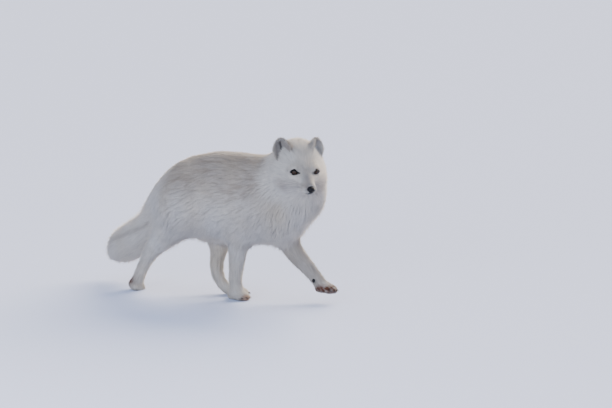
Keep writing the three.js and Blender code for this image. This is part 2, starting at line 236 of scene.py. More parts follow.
# ---- Materials ----
def material(name, roughness, **sockets):
    """A new material with a Principled shader, and its node tree."""
    m = bpy.data.materials.new(name)
    m.use_nodes = True
    shader = m.node_tree.nodes["Principled BSDF"]
    shader.inputs["Roughness"].default_value = roughness
    for socket, value in sockets.items():
        shader.inputs[socket.replace("_", " ")].default_value = value
    return m, m.node_tree, shader


def add(tree, kind, links=None, **settings):
    """Adds a node. Settings are its properties or the values of its inputs, links the sockets that feed it."""
    node = tree.nodes.new(kind)
    for key, value in settings.items():
        if hasattr(node, key):
            setattr(node, key, value)
        else:
            node.inputs[key.replace("_", " ")].default_value = value
    for key, socket in (links or {}).items():
        tree.links.new(socket, node.inputs[key])
    return node


def tinted(tree, shader):
    """Feeds the shader's colour from the piece's own tint attribute."""
    tint = add(tree, "ShaderNodeAttribute", attribute_name="tint")
    tree.links.new(tint.outputs["Color"], shader.inputs["Base Color"])
    return tint


# Guard hair of the winter coat: hollow, colourless keratin, so white, soft-edged and a little see-through.
HAIR, tree, shader = material("hollow_guard_hair", 0.62, IOR=1.55, Sheen_Weight=1.0, Sheen_Roughness=0.35)
shader.inputs["Sheen Tint"].default_value = linear("fff6ea")
tint = tinted(tree, shader)
through = add(tree, "ShaderNodeBsdfTranslucent", {"Color": tint.outputs["Color"]})
both = add(tree, "ShaderNodeMixShader", Fac=0.45)
tree.links.new(shader.outputs["BSDF"], both.inputs[1])
tree.links.new(through.outputs["BSDF"], both.inputs[2])
tree.links.new(both.outputs["Shader"], tree.nodes["Material Output"].inputs["Surface"])
spot = add(tree, "ShaderNodeTexCoord")
strands = add(tree, "ShaderNodeTexNoise", {"Vector": spot.outputs["Object"]}, Scale=900.0, Detail=2.0)
bump = add(tree, "ShaderNodeBump", {"Height": strands.outputs["Fac"]}, Strength=0.25, Distance=0.0004)
tree.links.new(bump.outputs["Normal"], shader.inputs["Normal"])

# Skin under the coat, with the flat down that covers it: matt, with a fine nap.
DOWN, tree, shader = material("skin_with_flat_down", 0.85)
tinted(tree, shader)
spot = add(tree, "ShaderNodeTexCoord")
nap = add(tree, "ShaderNodeTexNoise", {"Vector": spot.outputs["Object"]}, Scale=650.0, Detail=4.0, Roughness=0.7)
bump = add(tree, "ShaderNodeBump", {"Height": nap.outputs["Fac"]}, Strength=0.5, Distance=0.0008)
tree.links.new(bump.outputs["Normal"], shader.inputs["Normal"])

# Wet eye: a clear film over a dark iris, so one small highlight.
CORNEA, tree, shader = material("wet_cornea_over_iris", 0.16, IOR=1.376, Coat_Weight=0.18, Coat_Roughness=0.06)
shader.inputs["Specular IOR Level"].default_value = 0.2
tinted(tree, shader)

# Bare lid skin: black, thin and greasy.
LID, tree, shader = material("bare_lid_skin", 0.5)
shader.inputs["Base Color"].default_value = linear("090807")
shader.inputs["Specular IOR Level"].default_value = 0.2
spot = add(tree, "ShaderNodeTexCoord")
pores = add(tree, "ShaderNodeTexNoise", {"Vector": spot.outputs["Object"]}, Scale=1400.0, Detail=3.0)
bump = add(tree, "ShaderNodeBump", {"Height": pores.outputs["Fac"]}, Strength=0.3, Distance=0.0003)
tree.links.new(bump.outputs["Normal"], shader.inputs["Normal"])

# Nose leather: pebbled black skin, moist.
LEATHER, tree, shader = material("moist_nose_leather", 0.45, Coat_Weight=0.04, Coat_Roughness=0.3)
shader.inputs["Specular IOR Level"].default_value = 0.2
spot = add(tree, "ShaderNodeTexCoord")
pebbles = add(tree, "ShaderNodeTexVoronoi", {"Vector": spot.outputs["Object"]}, Scale=1100.0)
shade = add(tree, "ShaderNodeValToRGB", {"Fac": pebbles.outputs["Distance"]})
shade.color_ramp.elements[0].color = linear("0d0c0f")
shade.color_ramp.elements[1].color = linear("070608")
tree.links.new(shade.outputs["Color"], shader.inputs["Base Color"])
bump = add(tree, "ShaderNodeBump", {"Height": pebbles.outputs["Distance"]}, Strength=0.6, Distance=0.0004)
bump.invert = True
tree.links.new(bump.outputs["Normal"], shader.inputs["Normal"])

# Claw horn: dark keratin with lengthwise growth lines.
HORN, tree, shader = material("dark_claw_horn", 0.38)
spot = add(tree, "ShaderNodeTexCoord")
lines = add(tree, "ShaderNodeTexNoise", {"Vector": spot.outputs["Object"]}, Scale=700.0, Detail=3.0)
shade = add(tree, "ShaderNodeValToRGB", {"Fac": lines.outputs["Fac"]})
shade.color_ramp.elements[0].color = linear("17110e")
shade.color_ramp.elements[1].color = linear("3a2c24")
tree.links.new(shade.outputs["Color"], shader.inputs["Base Color"])

# Whisker: stiff pale keratin, darker to the root.
BRISTLE, tree, shader = material("whisker_keratin", 0.4)
shader.inputs["Base Color"].default_value = linear("6f6a66")

# Packed pale ground for the setting.
GROUND, tree, shader = material("pale_matt_floor", 0.9)
shader.inputs["Base Color"].default_value = linear("c0cae4")


# ---- Skin: copies of the flesh solids, joined into one surface and drawn in by the coat's depth ----
SWELL = 0.0007  # enough to close the 0.3 mm gaps between the solids
SKIN_CELL = 0.003
FACE_MIDDLE, FACE_REACH = HEAD @ Vector((0.012, 0, -0.012)), 0.052  # where the skin is finer


def flesh_copy():
    """The flesh solids as one mesh, each swollen by a hair so that they overlap at their cuts."""
    whole = bmesh.new()
    for name in FLESH:
        part = bmesh.new()
        part.from_mesh(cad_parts[name].data)
        bmesh.ops.remove_doubles(part, verts=part.verts, dist=1e-5)
        part.normal_update()
        for v in part.verts:
            v.co += v.normal * SWELL
        take_in(whole, part)
    mesh = bpy.data.meshes.new("flesh")
    whole.to_mesh(mesh)
    whole.free()
    return mesh


def remeshed(mesh, voxel):
    obj = new_object("joining", mesh)
    mod = obj.modifiers.new("join", "REMESH")
    mod.mode = "VOXEL"
    mod.voxel_size = voxel
    graph = bpy.context.evaluated_depsgraph_get()
    graph.update()
    result = bpy.data.meshes.new_from_object(obj.evaluated_get(graph))
    bpy.data.objects.remove(obj)
    return result


def nearest_region(points):
    """For each point, the node of flesh whose surface is nearest."""
    corners, faces, owner = [], [], []
    for k, name in enumerate(FLESH):
        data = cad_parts[name].data
        faces += [[len(corners) + i for i in p.vertices] for p in data.polygons]
        owner += [k] * len(data.polygons)
        corners += coords(data).tolist()
    tree = BVHTree.FromPolygons(corners, faces)
    found = [tree.find_nearest(Vector(p))[2] for p in points]
    return np.array(owner)[found]


def refine(mesh, centre, radius):
    """Splits the edges inside a ball in two, for folds that are finer than the rest of the skin."""
    bm = bmesh.new()
    bm.from_mesh(mesh)
    inside = [e for e in bm.edges if all((v.co - centre).length < radius for v in e.verts)]
    bmesh.ops.subdivide_edges(bm, edges=inside, cuts=1, use_grid_fill=True)
    bmesh.ops.triangulate(bm, faces=[f for f in bm.faces if len(f.verts) > 4])
    bm.to_mesh(mesh)
    bm.free()


def table(values, labels):
    """Looks up one value per vertex from a value per region."""
    return np.array([values.get(r, 0) for r in REGIONS])[labels]


# How many rounds of smoothing take the facets off each part.
SMOOTHING = {
    "trunk": 60, "neck": 50, "tail": 34, "head": 14, "muzzle": 5, "fore_leg": 14, "hind_leg": 14, "paw": 4,
}
skin_mesh = remeshed(flesh_copy(), SKIN_CELL)
refine(skin_mesh, FACE_MIDDLE, FACE_REACH)
labels = nearest_region(coords(skin_mesh))
near = Neighbours(skin_mesh)
rounds = near.smooth(table(SMOOTHING, labels).astype(float), 12)
co = coords(skin_mesh)
faceted = co
for i in range(max(SMOOTHING.values())):
    co = co + (near.mean(co) - co) * (0.5 * (rounds > i))[:, None]
co = co + near.smooth(faceted - co, 24)
set_coords(skin_mesh, co)
hair_ends = co  # the solids' own surface is where the coat's tips are

# The coat's depth, which thins out smoothly from part to part and towards the eyes and nose.
CHEEK_RUFF = 0.0075  # how much deeper the coat is on the cheeks
depth = table({k: v[0] for k, v in COAT.items()}, labels)
in_head = into(HEAD, co) * 1000
cheek = step(in_head[:, 0], 0, -34) * step(in_head[:, 2], 2, -16) * np.isin(labels, [FLESH.index("head")])
depth = near.smooth(depth + cheek * CHEEK_RUFF, 34)
round_eyes = [(eye @ Vector((EYE_RADIUS, 0, 0)), 0.0022, 0.010, 0.036) for eye in EYES.values()]
for place, least, more, reach in (*round_eyes, (HEAD @ NOSE, 0.0012, 0.008, 0.055)):
    depth = np.minimum(depth, least + more * step(far_from(co, place), 0.008, reach))
depth = near.smooth(depth, 4)
set_coords(skin_mesh, co)
inward = unit(near.smooth(coords(skin_mesh, "normal"), 10))
co = co - inward * depth[:, None]
for _ in range(5):
    co = co + (near.mean(co) - co) * 0.4

# ---- The face's folds ----
HALF_WIDE, UPPER, LOWER = 10.4, 4.3, 2.9  # the eye's opening: half its width, its upper and its lower lid, in mm
INNER = 0.8  # how far the opening's middle lies towards the nose
BALL = EYE_RADIUS * 1000
COVER = BALL + 0.7  # the lids lie over the ball
SOCKET = BALL - 4.4  # the skin inside the opening lies behind the ball's face


def lid_height(outer, upper):
    """How high the upper lid's edge is, or how low the lower one's, at a place across the eye."""
    share = np.maximum(1 - (np.abs(outer) / HALF_WIDE) ** 2, 0)
    return (UPPER if upper else LOWER) * share**0.8


def past_lids(outer, z):
    """How far outside the eye's opening a place is, in mm; below 0 inside it."""
    high = np.where(z > 0, lid_height(outer, True), lid_height(outer, False))
    side = np.maximum(np.abs(outer) - HALF_WIDE, 0)
    over = np.abs(z) - high
    return np.where(side > 0, np.hypot(side, z), over * np.where(over < 0, 1, 0.85))


def lid_depth(outer, z):
    """How far out from the eye's middle its lids' edges lie."""
    return BALL * (1 - 0.30 * (outer / HALF_WIDE) ** 2 - 0.10 * (z / UPPER) ** 2) + 0.5


def round_the_eye(points, s):
    """Points in an eye's frame, how far to its outer corner and past its lids they are, and how deep the lids."""
    p = into(EYES[s], points) * 1000
    _, y, z = p.T
    outer = y * s + INNER
    return p, outer, past_lids(outer, z), lid_depth(np.clip(outer, -12, 12), np.clip(z, -8, 8))


def shape_lids(points):
    """Draws the skin onto the lids' edges, with a fold above, and behind the ball inside the opening."""
    for s, eye in EYES.items():
        p, outer, past, edge = round_the_eye(points, s)
        x, y, z = p.T
        brow = 0.9 * np.exp(-(((z - 7.5) / 2.2) ** 2) - (outer / 9) ** 2)
        fold = -0.7 * np.exp(-(((z - 5.6) / 0.9) ** 2) - (outer / 8) ** 2)
        target = edge + brow + fold
        held = step(np.hypot(outer / (HALF_WIDE * 2.0), z / (UPPER * 2.2)), 1.0, 0.45)
        held *= step(np.abs(target - x), 9, 5)
        x += (target - x) * held
        sunk = step(past, 0.1, -0.7) * (x > 0) * step(np.abs(target - x), 6, 3)
        x += (SOCKET - x) * sunk
        # The lids lie over the ball, then slope away from it at 45 degrees to the brow and cheek.
        from_axis = np.hypot(y, z)
        bend = COVER * math.sqrt(0.5)
        on_ball = np.sqrt(np.maximum(COVER**2 - from_axis**2, 0))
        short = np.where(from_axis < bend, on_ball, 2 * bend - from_axis) - x
        x += np.maximum(short, 0) * step(past, -0.1, 0.4) * (x > -9) * step(from_axis, 16, 10)
        points = out_of(eye, p / 1000)
    return points


LIP_WIDTH, LIP_DEPTH = 1.6, 0.0016  # in mm and in metres


def lip_line(s):
    """One side of the mouth's line, in the row frame, from under the nose to its corner."""
    front = ((50.5, 0.3, -29.5), (49, 3.6, -32.4), (41, 8.2, -34.6))
    back = ((28, 11.6, -34.4), (12, 16, -32.6), (3, 19, -30.6))
    curve = [HEAD @ (Vector((x, s * y, z)) / 1000) for x, y, z in front + back]
    line = []
    for a, b in zip(curve, curve[1:]):
        line += [a.lerp(b, k / 8) for k in range(8)]
    return line + [curve[-1]]


def shape_mouth(points, out):
    """Presses the mouth's line into the skin."""
    for s in (1, -1):
        gap = nearest(lip_line(s), points)[1] * 1000
        points = points - out * (np.exp(-((gap / LIP_WIDTH) ** 2)) * LIP_DEPTH)[:, None]
    return points


co = shape_lids(co)
co = shape_mouth(co, inward)
set_coords(skin_mesh, co)


# ---- Ears: thin cups of skin, open to the front ----
def in_order(bm):
    """The shape as a mesh, its faces in a fixed order. A ball's come in any order, and tufts are sown by it."""
    bm.verts.index_update()
    faces = []
    for face in bm.faces:
        ring = [v.index for v in face.verts]
        first = ring.index(min(ring))
        faces.append(ring[first:] + ring[:first])
    mesh = bpy.data.meshes.new("ordered")
    mesh.from_pydata([tuple(v.co) for v in bm.verts], [], sorted(faces))
    bm.free()
    return mesh


def ear_mesh(s):
    bm = ball(44, 30)
    for v in bm.verts:
        a, b, c = v.co
        wall = a if a < 0 else -0.60 * a**0.8
        full = (b * b + c * c) ** 0.5
        wide = 1 + 0.10 * full * full * (b * b) * (c > 0)
        x = wall * EAR_HALF.x + 0.0075 * b * b - 0.0015
        v.co = EARS[s] @ Vector((x, b * EAR_HALF.y * wide, c * EAR_HALF.z))
    bmesh.ops.recalc_face_normals(bm, faces=bm.faces)
    return in_order(bm)


whole = bmesh.new()
whole.from_mesh(skin_mesh)
for s in (1, -1):
    whole.from_mesh(ear_mesh(s))
before_ears = len(skin_mesh.vertices)
skin_mesh = bpy.data.meshes.new("skin")
whole.to_mesh(skin_mesh)
whole.free()
co = coords(skin_mesh)
EAR_LABEL = len(FLESH)
added = len(co) - before_ears
labels = np.concatenate([labels, np.full(added, EAR_LABEL)])
depth = np.concatenate([depth, np.full(added, COAT["ear"][0])])
near = Neighbours(skin_mesh)
out = coords(skin_mesh, "normal")

# The coat's outer face: the solids' own surface, and round the eyes and over the ears the skin moved out.
coat_face = co + unit(near.smooth(out, 6)) * depth[:, None]
own = np.ones(before_ears)
for eye in EYES.values():
    own *= step(far_from(co[:before_ears], eye.translation), 0.020, 0.032)
coat_face[:before_ears] += (hair_ends - coat_face[:before_ears]) * own[:, None]
EAR_FLUFF, FLUFF_REACH = 0.0042, 0.014  # how far the fluff between the ears stands out, and how wide it is
for s in (1, -1):
    gap = far_from(co, HEAD @ Vector((-0.046, s * 0.024, 0.040)))
    coat_face += out * (EAR_FLUFF * np.exp(-((gap / FLUFF_REACH) ** 2)))[:, None]


# ---- The lie of the coat: which way the hair points on each part ----
# Parts where the hair lies one way all over.
LIE = {
    "tail": (-0.80, 0.38, -0.46), "fore_leg_left": (0.62, -0.08, -0.78),
    "fore_leg_right": (-0.12, 0.05, -1.0), "hind_leg_right": (-0.52, 0.1, -0.85),
}


def lie_of_coat():
    """The hair's direction at each vertex, along the skin, and how much of it stood up from the skin."""
    flow = np.zeros_like(co)
    mm = (co - np.array(MIDDLE)) * 1000
    for k, name in enumerate(FLESH):
        mine = labels == k
        p = mm[mine]
        side = out[mine]
        if name == "trunk":
            hang = 1.1 * step(p[:, 2], 215, 120)
            f = np.stack([-np.ones(len(p)), 0 * p[:, 0], -0.12 - (0.30 + hang) * np.abs(side[:, 1])], axis=1)
            f[:, 2] -= 0.9 * np.clip(side[:, 0], 0, 1)
            f[:, 2] -= 1.0 * np.clip(-side[:, 0], 0, 1)
        elif name == "neck":
            f = np.tile([-0.75, 0.1, -0.45], (len(p), 1))
            f[:, 2] -= 0.9 * step(p[:, 2], 280, 190) * np.abs(side[:, 1])
            f[:, 2] -= 1.6 * np.clip(side[:, 0], 0, 1)
            f[:, 0] += 0.5 * np.clip(side[:, 0], 0, 1)
        elif name in ("head", "muzzle"):
            q = into(HEAD, co[mine]) * 1000
            away = q - np.array([60.0, 0.0, -14.0])
            away[:, 1] *= 1.35
            away[:, 2] -= 14 * step(q[:, 0], 0, -40) * (q[:, 2] < 10)
            f = away @ np.array(HEAD.to_3x3()).T
        elif name in LIE:
            f = np.tile(LIE[name], (len(p), 1))
        elif name == "hind_leg_left":
            low = step(p[:, 2], 62, 40)[:, None]
            f = np.array([0.0, -0.1, -1.0]) * (1 - low) + np.array([0.62, -0.1, -0.75]) * low
        else:
            turn = np.array(PAWS[name][0].to_3x3())
            f = np.tile(turn @ np.array([1.0, 0, -0.35]), (len(p), 1))
        flow[mine] = unit(f)
    for s, ear in EARS.items():
        turn = np.array(ear.to_3x3())
        mine = (labels == EAR_LABEL) & (np.sign(into(HEAD, co)[:, 1]) == s)
        q = into(ear, co[mine]) * 1000
        inner = (out[mine] @ turn[:, 0] > 0.2)[:, None]
        spread = np.stack([0 * q[:, 0] + 4, q[:, 1] * 1.4, q[:, 2] + 26], axis=1)
        up = np.stack([0 * q[:, 0] + 2, q[:, 1] * 1.2, 0 * q[:, 2] + 24], axis=1)
        flow[mine] = unit(np.where(inner, spread, up)) @ turn.T
    standing = np.clip((flow * out).sum(axis=1), 0, 1)
    for _ in range(30):
        flow = flow + (near.mean(flow) - flow) * 0.5
        flow -= out * (flow * out).sum(axis=1, keepdims=True)
        flow = unit(flow)
    return flow, near.smooth(standing, 10)


flow, standing = lie_of_coat()


# ---- Markings, which the skin and the coat share ----
WHITE, CREAM, STRAW = rgb("eeece8"), rgb("e6dccb"), rgb("e6d6b8")
GREY, LINING, SMOKE = rgb("b3a79c"), rgb("a8a29d"), rgb("54504d")
FAWN, RUST = rgb("b58768"), rgb("6f4029")
SHADOW, INK = rgb("2b2623"), rgb("15110f")
PAW_STAINS = {"fore_paw_right": 0.30, "fore_paw_left": 1.0, "hind_paw_right": 0.5, "hind_paw_left": 0.4}
# Round marks: the place and reach of each in mm, its colour, and how strong it is.
FACE_SHADE_SPOTS = (
    ((46, -8, -16), (10, 8, 10), GREY * 0.85, 0.8),  # painted shade beside the nose
    ((38, -14, -17), (8, 6, 8), GREY * 0.9, 0.6),  # painted shade on the muzzle's side
    ((-20, -4, 34), (24, 20, 16), GREY * [0.9, 1.0, 1.1], 0.28),  # the forehead: a faint grey, made bluish by painted shade
)
LIFTED_PAW_SPOTS = (
    ((17, -14, 11), 3.2, INK, 0.9), ((27, -4, 10), 2.8, INK, 0.9), ((27, 8, 9), 3.0, INK, 0.9),
    ((-12, -13, 9), 5.5, RUST * 0.9, 0.8), ((26, 6, 4), 4.5, RUST * 0.9, 0.8), ((20, -10, 2), 6.0, RUST * 0.9, 0.8),
)
FOOT_SPOTS = (
    ((14, -44, 4), 4.0, INK * 2, 0.7),
    ((-262, -32, 31), (10, 16, 15), RUST, 1.3),  # the stretched leg's heel
    ((-248, -42, 4), 4.0, INK * 2, 0.6),
)
# Partings in the coat, and painted shade in the crease down the chest: two ends and a width in mm, the colour, and
# how strong it is.
PARTINGS_AND_CREASE_SHADE = (
    ((-350, 20, 90), (-215, -32, 156), 4.5, GREY * 0.8, 0.6),  # along the tail
    ((106, -60, 206), (112, -52, 166), 2.2, GREY * 0.7, 0.6),  # painted shade in the crease down the chest
    ((120, -60, 190), (122, -52, 160), 1.8, GREY * 0.7, 0.4),
)


def toward(colour, other, share):
    return colour + (other - colour) * np.clip(share, 0, 1)[:, None]


def dabbed(colour, points, *spots):
    """Adds round marks, each full at its place and fading round it."""
    for place, reach, mark, strength in spots:
        share = np.exp(-(((points - np.array(place)) / reach) ** 2).sum(axis=1))
        colour = toward(colour, mark, share * strength)
    return colour


def stripe(points, start, end, width, depth_share):
    """1 on a line between two places and fading beside it over a width, whatever the depth under the coat."""
    share = np.array(depth_share)
    a, b = np.array(start) * share, np.array(end) * share
    p = points * share
    t = np.clip((p - a) @ (b - a) / ((b - a) @ (b - a)), 0, 1)
    return np.exp(-((np.linalg.norm(p - a - t[:, None] * (b - a), axis=1) / width) ** 2))


def body_marks(colour, points, mm, label):
    """The streaked saddle and flank, the cream tinge, the legs' tints, and painted shade on the left foreleg."""
    x, _, z = mm.T
    patches = ripple(points, 0.075, 11)
    saddle = step(z, 205, 270) * step(x, -200, -130) * step(x, 108, 62)
    warp = mm * [0.17, 1, 1] + np.stack([0 * patches, 0 * patches, 5 * ripple(points, 0.085, 16)], axis=1)
    streaks = np.exp(-((ripple(warp / 1000, 0.019, 12) / 0.30) ** 2))
    colour = toward(colour, GREY, saddle * (0.78 + 0.46 * streaks + 0.08 * patches))
    flank = step(x, -190, -140) * step(x, -50, -100) * step(z, 140, 170) * (1 - saddle)
    colour = toward(colour, GREY, flank * (0.14 + 0.10 * streaks))
    colour = toward(colour, CREAM, 0.22 + 0.14 * patches)
    colour = dabbed(colour, mm, ((120, -58, 222), 26, CREAM * 0.93, 0.9))
    limb = np.isin(np.array(REGIONS)[label], ("fore_leg", "hind_leg"))
    colour = toward(colour, CREAM * 0.96, limb * step(z, 130, 60) * 0.35)
    # Painted shade: the left foreleg, the far one, is greyed for the body's shade over it.
    colour = toward(colour, GREY * 0.92, (label == FLESH.index("fore_leg_left")) * 0.45)
    return toward(colour, STRAW, (label == FLESH.index("hind_leg_left")) * step(z, 30, 80) * 0.3)


def cheek_marks(colour, head):
    for s in (1, -1):
        colour = dabbed(colour, head, ((-8, s * 36, -33), 17, GREY, 0.6))
        for start, end in (((-12, s * 42, -33), (12, s * 23, -29)), ((-6, s * 29, -42), (10, s * 15, -41))):
            streak = stripe(head, start, end, 1.3, (0.6, 0.35, 1))
            colour = toward(colour, SMOKE * 1.6, streak * (head[:, 1] * s > 0) * 0.5)
    return colour


def eye_marks(colour, points):
    """Painted grey shade round the eyes, black on the lids' edges and out to both corners, and a grey line up the
    brow.
    """
    for s in EYES:
        p, outer, past, edge = round_the_eye(points, s)
        x, _, z = p.T
        here = (x > -2) & (np.linalg.norm(p, axis=1) < 40)
        # Painted shade: a grey ring round each eye.
        colour = toward(colour, GREY * 0.92, step(past, 7.0, 1.5) * here * 0.30)
        here = here * step(np.abs(x - edge), 3.5, 1.5)
        colour = toward(colour, INK, step(past, 1.3, 0.6) * here)
        inner_corner = np.hypot((outer + 11.2) / 4.4, (z + 1.3) / 1.6)
        outer_corner = np.hypot((outer - 10.8) / 3.6, (z - 0.3) / 1.3)
        colour = toward(colour, INK * 2, step(np.minimum(inner_corner, outer_corner), 1.1, 0.6) * here * 0.9)
        brow = np.exp(-(((outer + 4 - 0.18 * (z - 14)) / 1.6) ** 2))
        brow = brow * step(z, 7, 12) * step(z, 30, 20)
        colour = toward(colour, GREY, brow * here * 0.35)
    return colour


def mouth_marks(colour, points, head):
    colour = toward(colour, SMOKE, step(far_from(head, np.array(NOSE) * 1000), 15.0, 8.5) * 0.6)
    x, y, z = head.T
    close = (x > -5) & (z < -20) & (np.abs(y) < 28)
    for s in (1, -1):
        gap = np.full(len(points), 99.0)
        gap[close] = nearest(lip_line(s), points[close])[1] * 1000
        front = 0.35 + 0.65 * step(x, 26, 38)
        colour = toward(colour, INK * 1.5, step(gap, 3.8, 2.0) * front)
    return colour


def ear_marks(colour, points, outward, label, head):
    """Grey lining and rims, made stronger on the right ear by painted shade, where the hollow's painted shadow line
    shows.
    """
    for s, ear in EARS.items():
        _, y, z = (into(ear, points) * 1000).T
        mine = (label == EAR_LABEL) & (np.sign(head[:, 1]) == s)
        inner = mine * step(outward @ np.array(ear.to_3x3())[:, 0], 0.0, 0.5)
        # Painted shade: the right ear's lining and rims are greyer than the left's.
        lining, rim = (0.8, 0.55) if s < 0 else (0.4, 0.25)
        colour = toward(colour, LINING, inner * lining * step(np.abs(y), 17, 11))
        if s < 0:
            low = z - 5.8
            bend = y - s * (3.3 + 0.1 * low - 0.0065 * low * low)
            slit = inner * np.exp(-((bend / 2.9) ** 2)) * step(z, -20, -10) * step(z, 24, 15)
            colour = toward(colour, SHADOW, slit * 0.95)
        colour = toward(colour, GREY * 0.85, mine * step(np.abs(y), 10, 15) * step(z, 24, 10) * rim)
    return colour


def paw_marks(colour, points, mm):
    """Rust stains from below, most on the lifted paw, and fawn toes on the one that carries the weight."""
    blotch = 0.86 + 0.26 * ripple(points, 0.010, 14)
    for name, (paw, _) in PAWS.items():
        p = into(paw, points) * 1000
        x, _, z = p.T
        mine = np.linalg.norm(p * [0.8, 1, 1], axis=1) < 40
        under = step(z, 24, 11) if name == "fore_paw_left" else step(z, 10, 3) * step(x, -8, 12)
        colour = toward(colour, RUST, mine * under * blotch * PAW_STAINS[name])
        colour = toward(colour, CREAM * 0.9, mine * step(z, 26, 6) * (1 - under) * 0.4)
    colour = dabbed(colour, into(PAWS["fore_paw_left"][0], points) * 1000, *LIFTED_PAW_SPOTS)
    x, y, z = (into(PAWS["fore_paw_right"][0], points) * 1000).T
    toes = step(x, 12, 22) * (x < 45) * step(np.abs(y), 26, 20)
    colour = toward(colour, FAWN, toes * step(z, 28, 12) * 0.75)
    return dabbed(colour, mm, *FOOT_SPOTS)


def markings(points, outward, label):
    """The coat's colour at places on the skin."""
    mm = (points - np.array(MIDDLE)) * 1000
    head = into(HEAD, points) * 1000
    colour = body_marks(np.tile(WHITE, (len(points), 1)), points, mm, label)
    # Painted shade: bluish grey down the muzzle's bridge.
    colour = dabbed(colour, head, ((30, 0, -8), (26, 11, 12), GREY * [0.86, 0.94, 1.06], 0.85))
    # The tail's parting, and painted shade in the crease down the chest.
    for start, end, width, mark, strength in PARTINGS_AND_CREASE_SHADE:
        colour = toward(colour, mark, stripe(mm, start, end, width, (1, 0.2, 1)) * strength)
    # Painted shade: grey and bluish shade beside the nose, on the muzzle's side and on the forehead.
    colour = dabbed(colour, head, *FACE_SHADE_SPOTS)
    colour = dabbed(colour, mm, ((72, -85, 212), (36, 40, 34), GREY, 0.28))
    colour = dabbed(colour, head, ((-42, -20, 40), (10, 6, 9), GREY * 0.85, 0.7))
    colour = cheek_marks(colour, head)
    colour = eye_marks(colour, points)
    colour = mouth_marks(colour, points, head)
    colour = ear_marks(colour, points, outward, label, head)
    return paw_marks(colour, points, mm)


# ---- The finished skin ----
def set_tint(mesh, colour):
    layer = mesh.attributes.new("tint", "FLOAT_COLOR", "POINT")
    rgba = np.ones((len(colour), 4), np.float32)
    rgba[:, :3] = colour
    layer.data.foreach_set("color", rgba.ravel())


skin_tint = markings(co, out, labels)
set_tint(skin_mesh, skin_tint * 0.95)
SKIN = new_object("skin", skin_mesh, DOWN)


def unwrap(obj):
    """Unwraps the skin by its own shape, into the map that the coat's roots share."""
    obj.data.uv_layers.new(name="OFBake")
    bpy.context.view_layer.objects.active = obj
    obj.select_set(True)
    bpy.ops.object.mode_set(mode="EDIT")
    bpy.ops.mesh.select_all(action="SELECT")
    bpy.ops.uv.smart_project(angle_limit=math.radians(66), island_margin=0.003)
    bpy.ops.object.mode_set(mode="OBJECT")
    obj.select_set(False)


unwrap(SKIN)
skin_mesh = SKIN.data
skin_mesh.calc_loop_triangles()
triangle_count = len(skin_mesh.loop_triangles)
corner = np.empty(triangle_count * 3, np.int32)
skin_mesh.loop_triangles.foreach_get("vertices", corner)
corner = corner.reshape(-1, 3)
loops = np.empty(triangle_count * 3, np.int32)
skin_mesh.loop_triangles.foreach_get("loops", loops)
loop_uv = np.empty(len(skin_mesh.loops) * 2, np.float32)
skin_mesh.uv_layers["OFBake"].data.foreach_get("uv", loop_uv)
corner_uv = loop_uv.reshape(-1, 2)[loops].reshape(-1, 3, 2)

coat_tree = BVHTree.FromPolygons([tuple(c) for c in coat_face], corner.tolist())


# ---- Tufts ----
def sown(density):
    """Picks the tufts' roots, spread evenly by a density per mm2 at each vertex: the triangle and the shares."""
    a, b, c = (co[corner[:, k]] for k in range(3))
    area = np.linalg.norm(np.cross(b - a, c - a), axis=1) * 0.5e6
    wanted = np.cumsum(area * density[corner].mean(axis=1))
    count = int(wanted[-1])
    picks = np.searchsorted(wanted, np.arange(count) + rng.uniform(0, 1, count) * 0.7)
    picks = np.minimum(picks, triangle_count - 1)
    r = np.sqrt(rng.uniform(0, 1, count))
    q = rng.uniform(0, 1, count)
    return picks, np.stack([1 - r, r * (1 - q), r * q], axis=1)


LONG_LOCKS = ("trunk", "neck", "tail", "fore_leg", "hind_leg")  # locks longer along the hair than across it


def gathered(roots, label, spacing):
    """Each root's lock: the tuft in its middle, which the others of the lock draw together to."""
    r = np.random.default_rng(5)
    lock = np.arange(len(roots))
    for k in np.unique(label):
        mine = np.flatnonzero(label == k)
        main = unit(flow[labels == k].mean(axis=0))
        stretch = 0.66 if REGIONS[k] in LONG_LOCKS else 0.0
        place = roots[mine] - main * (roots[mine] @ main)[:, None] * stretch
        chosen = r.permutation(len(mine))[: max(1, len(mine) // spacing)]
        lock[mine] = mine[chosen[nearest(place[chosen], place)[0]]]
    return lock


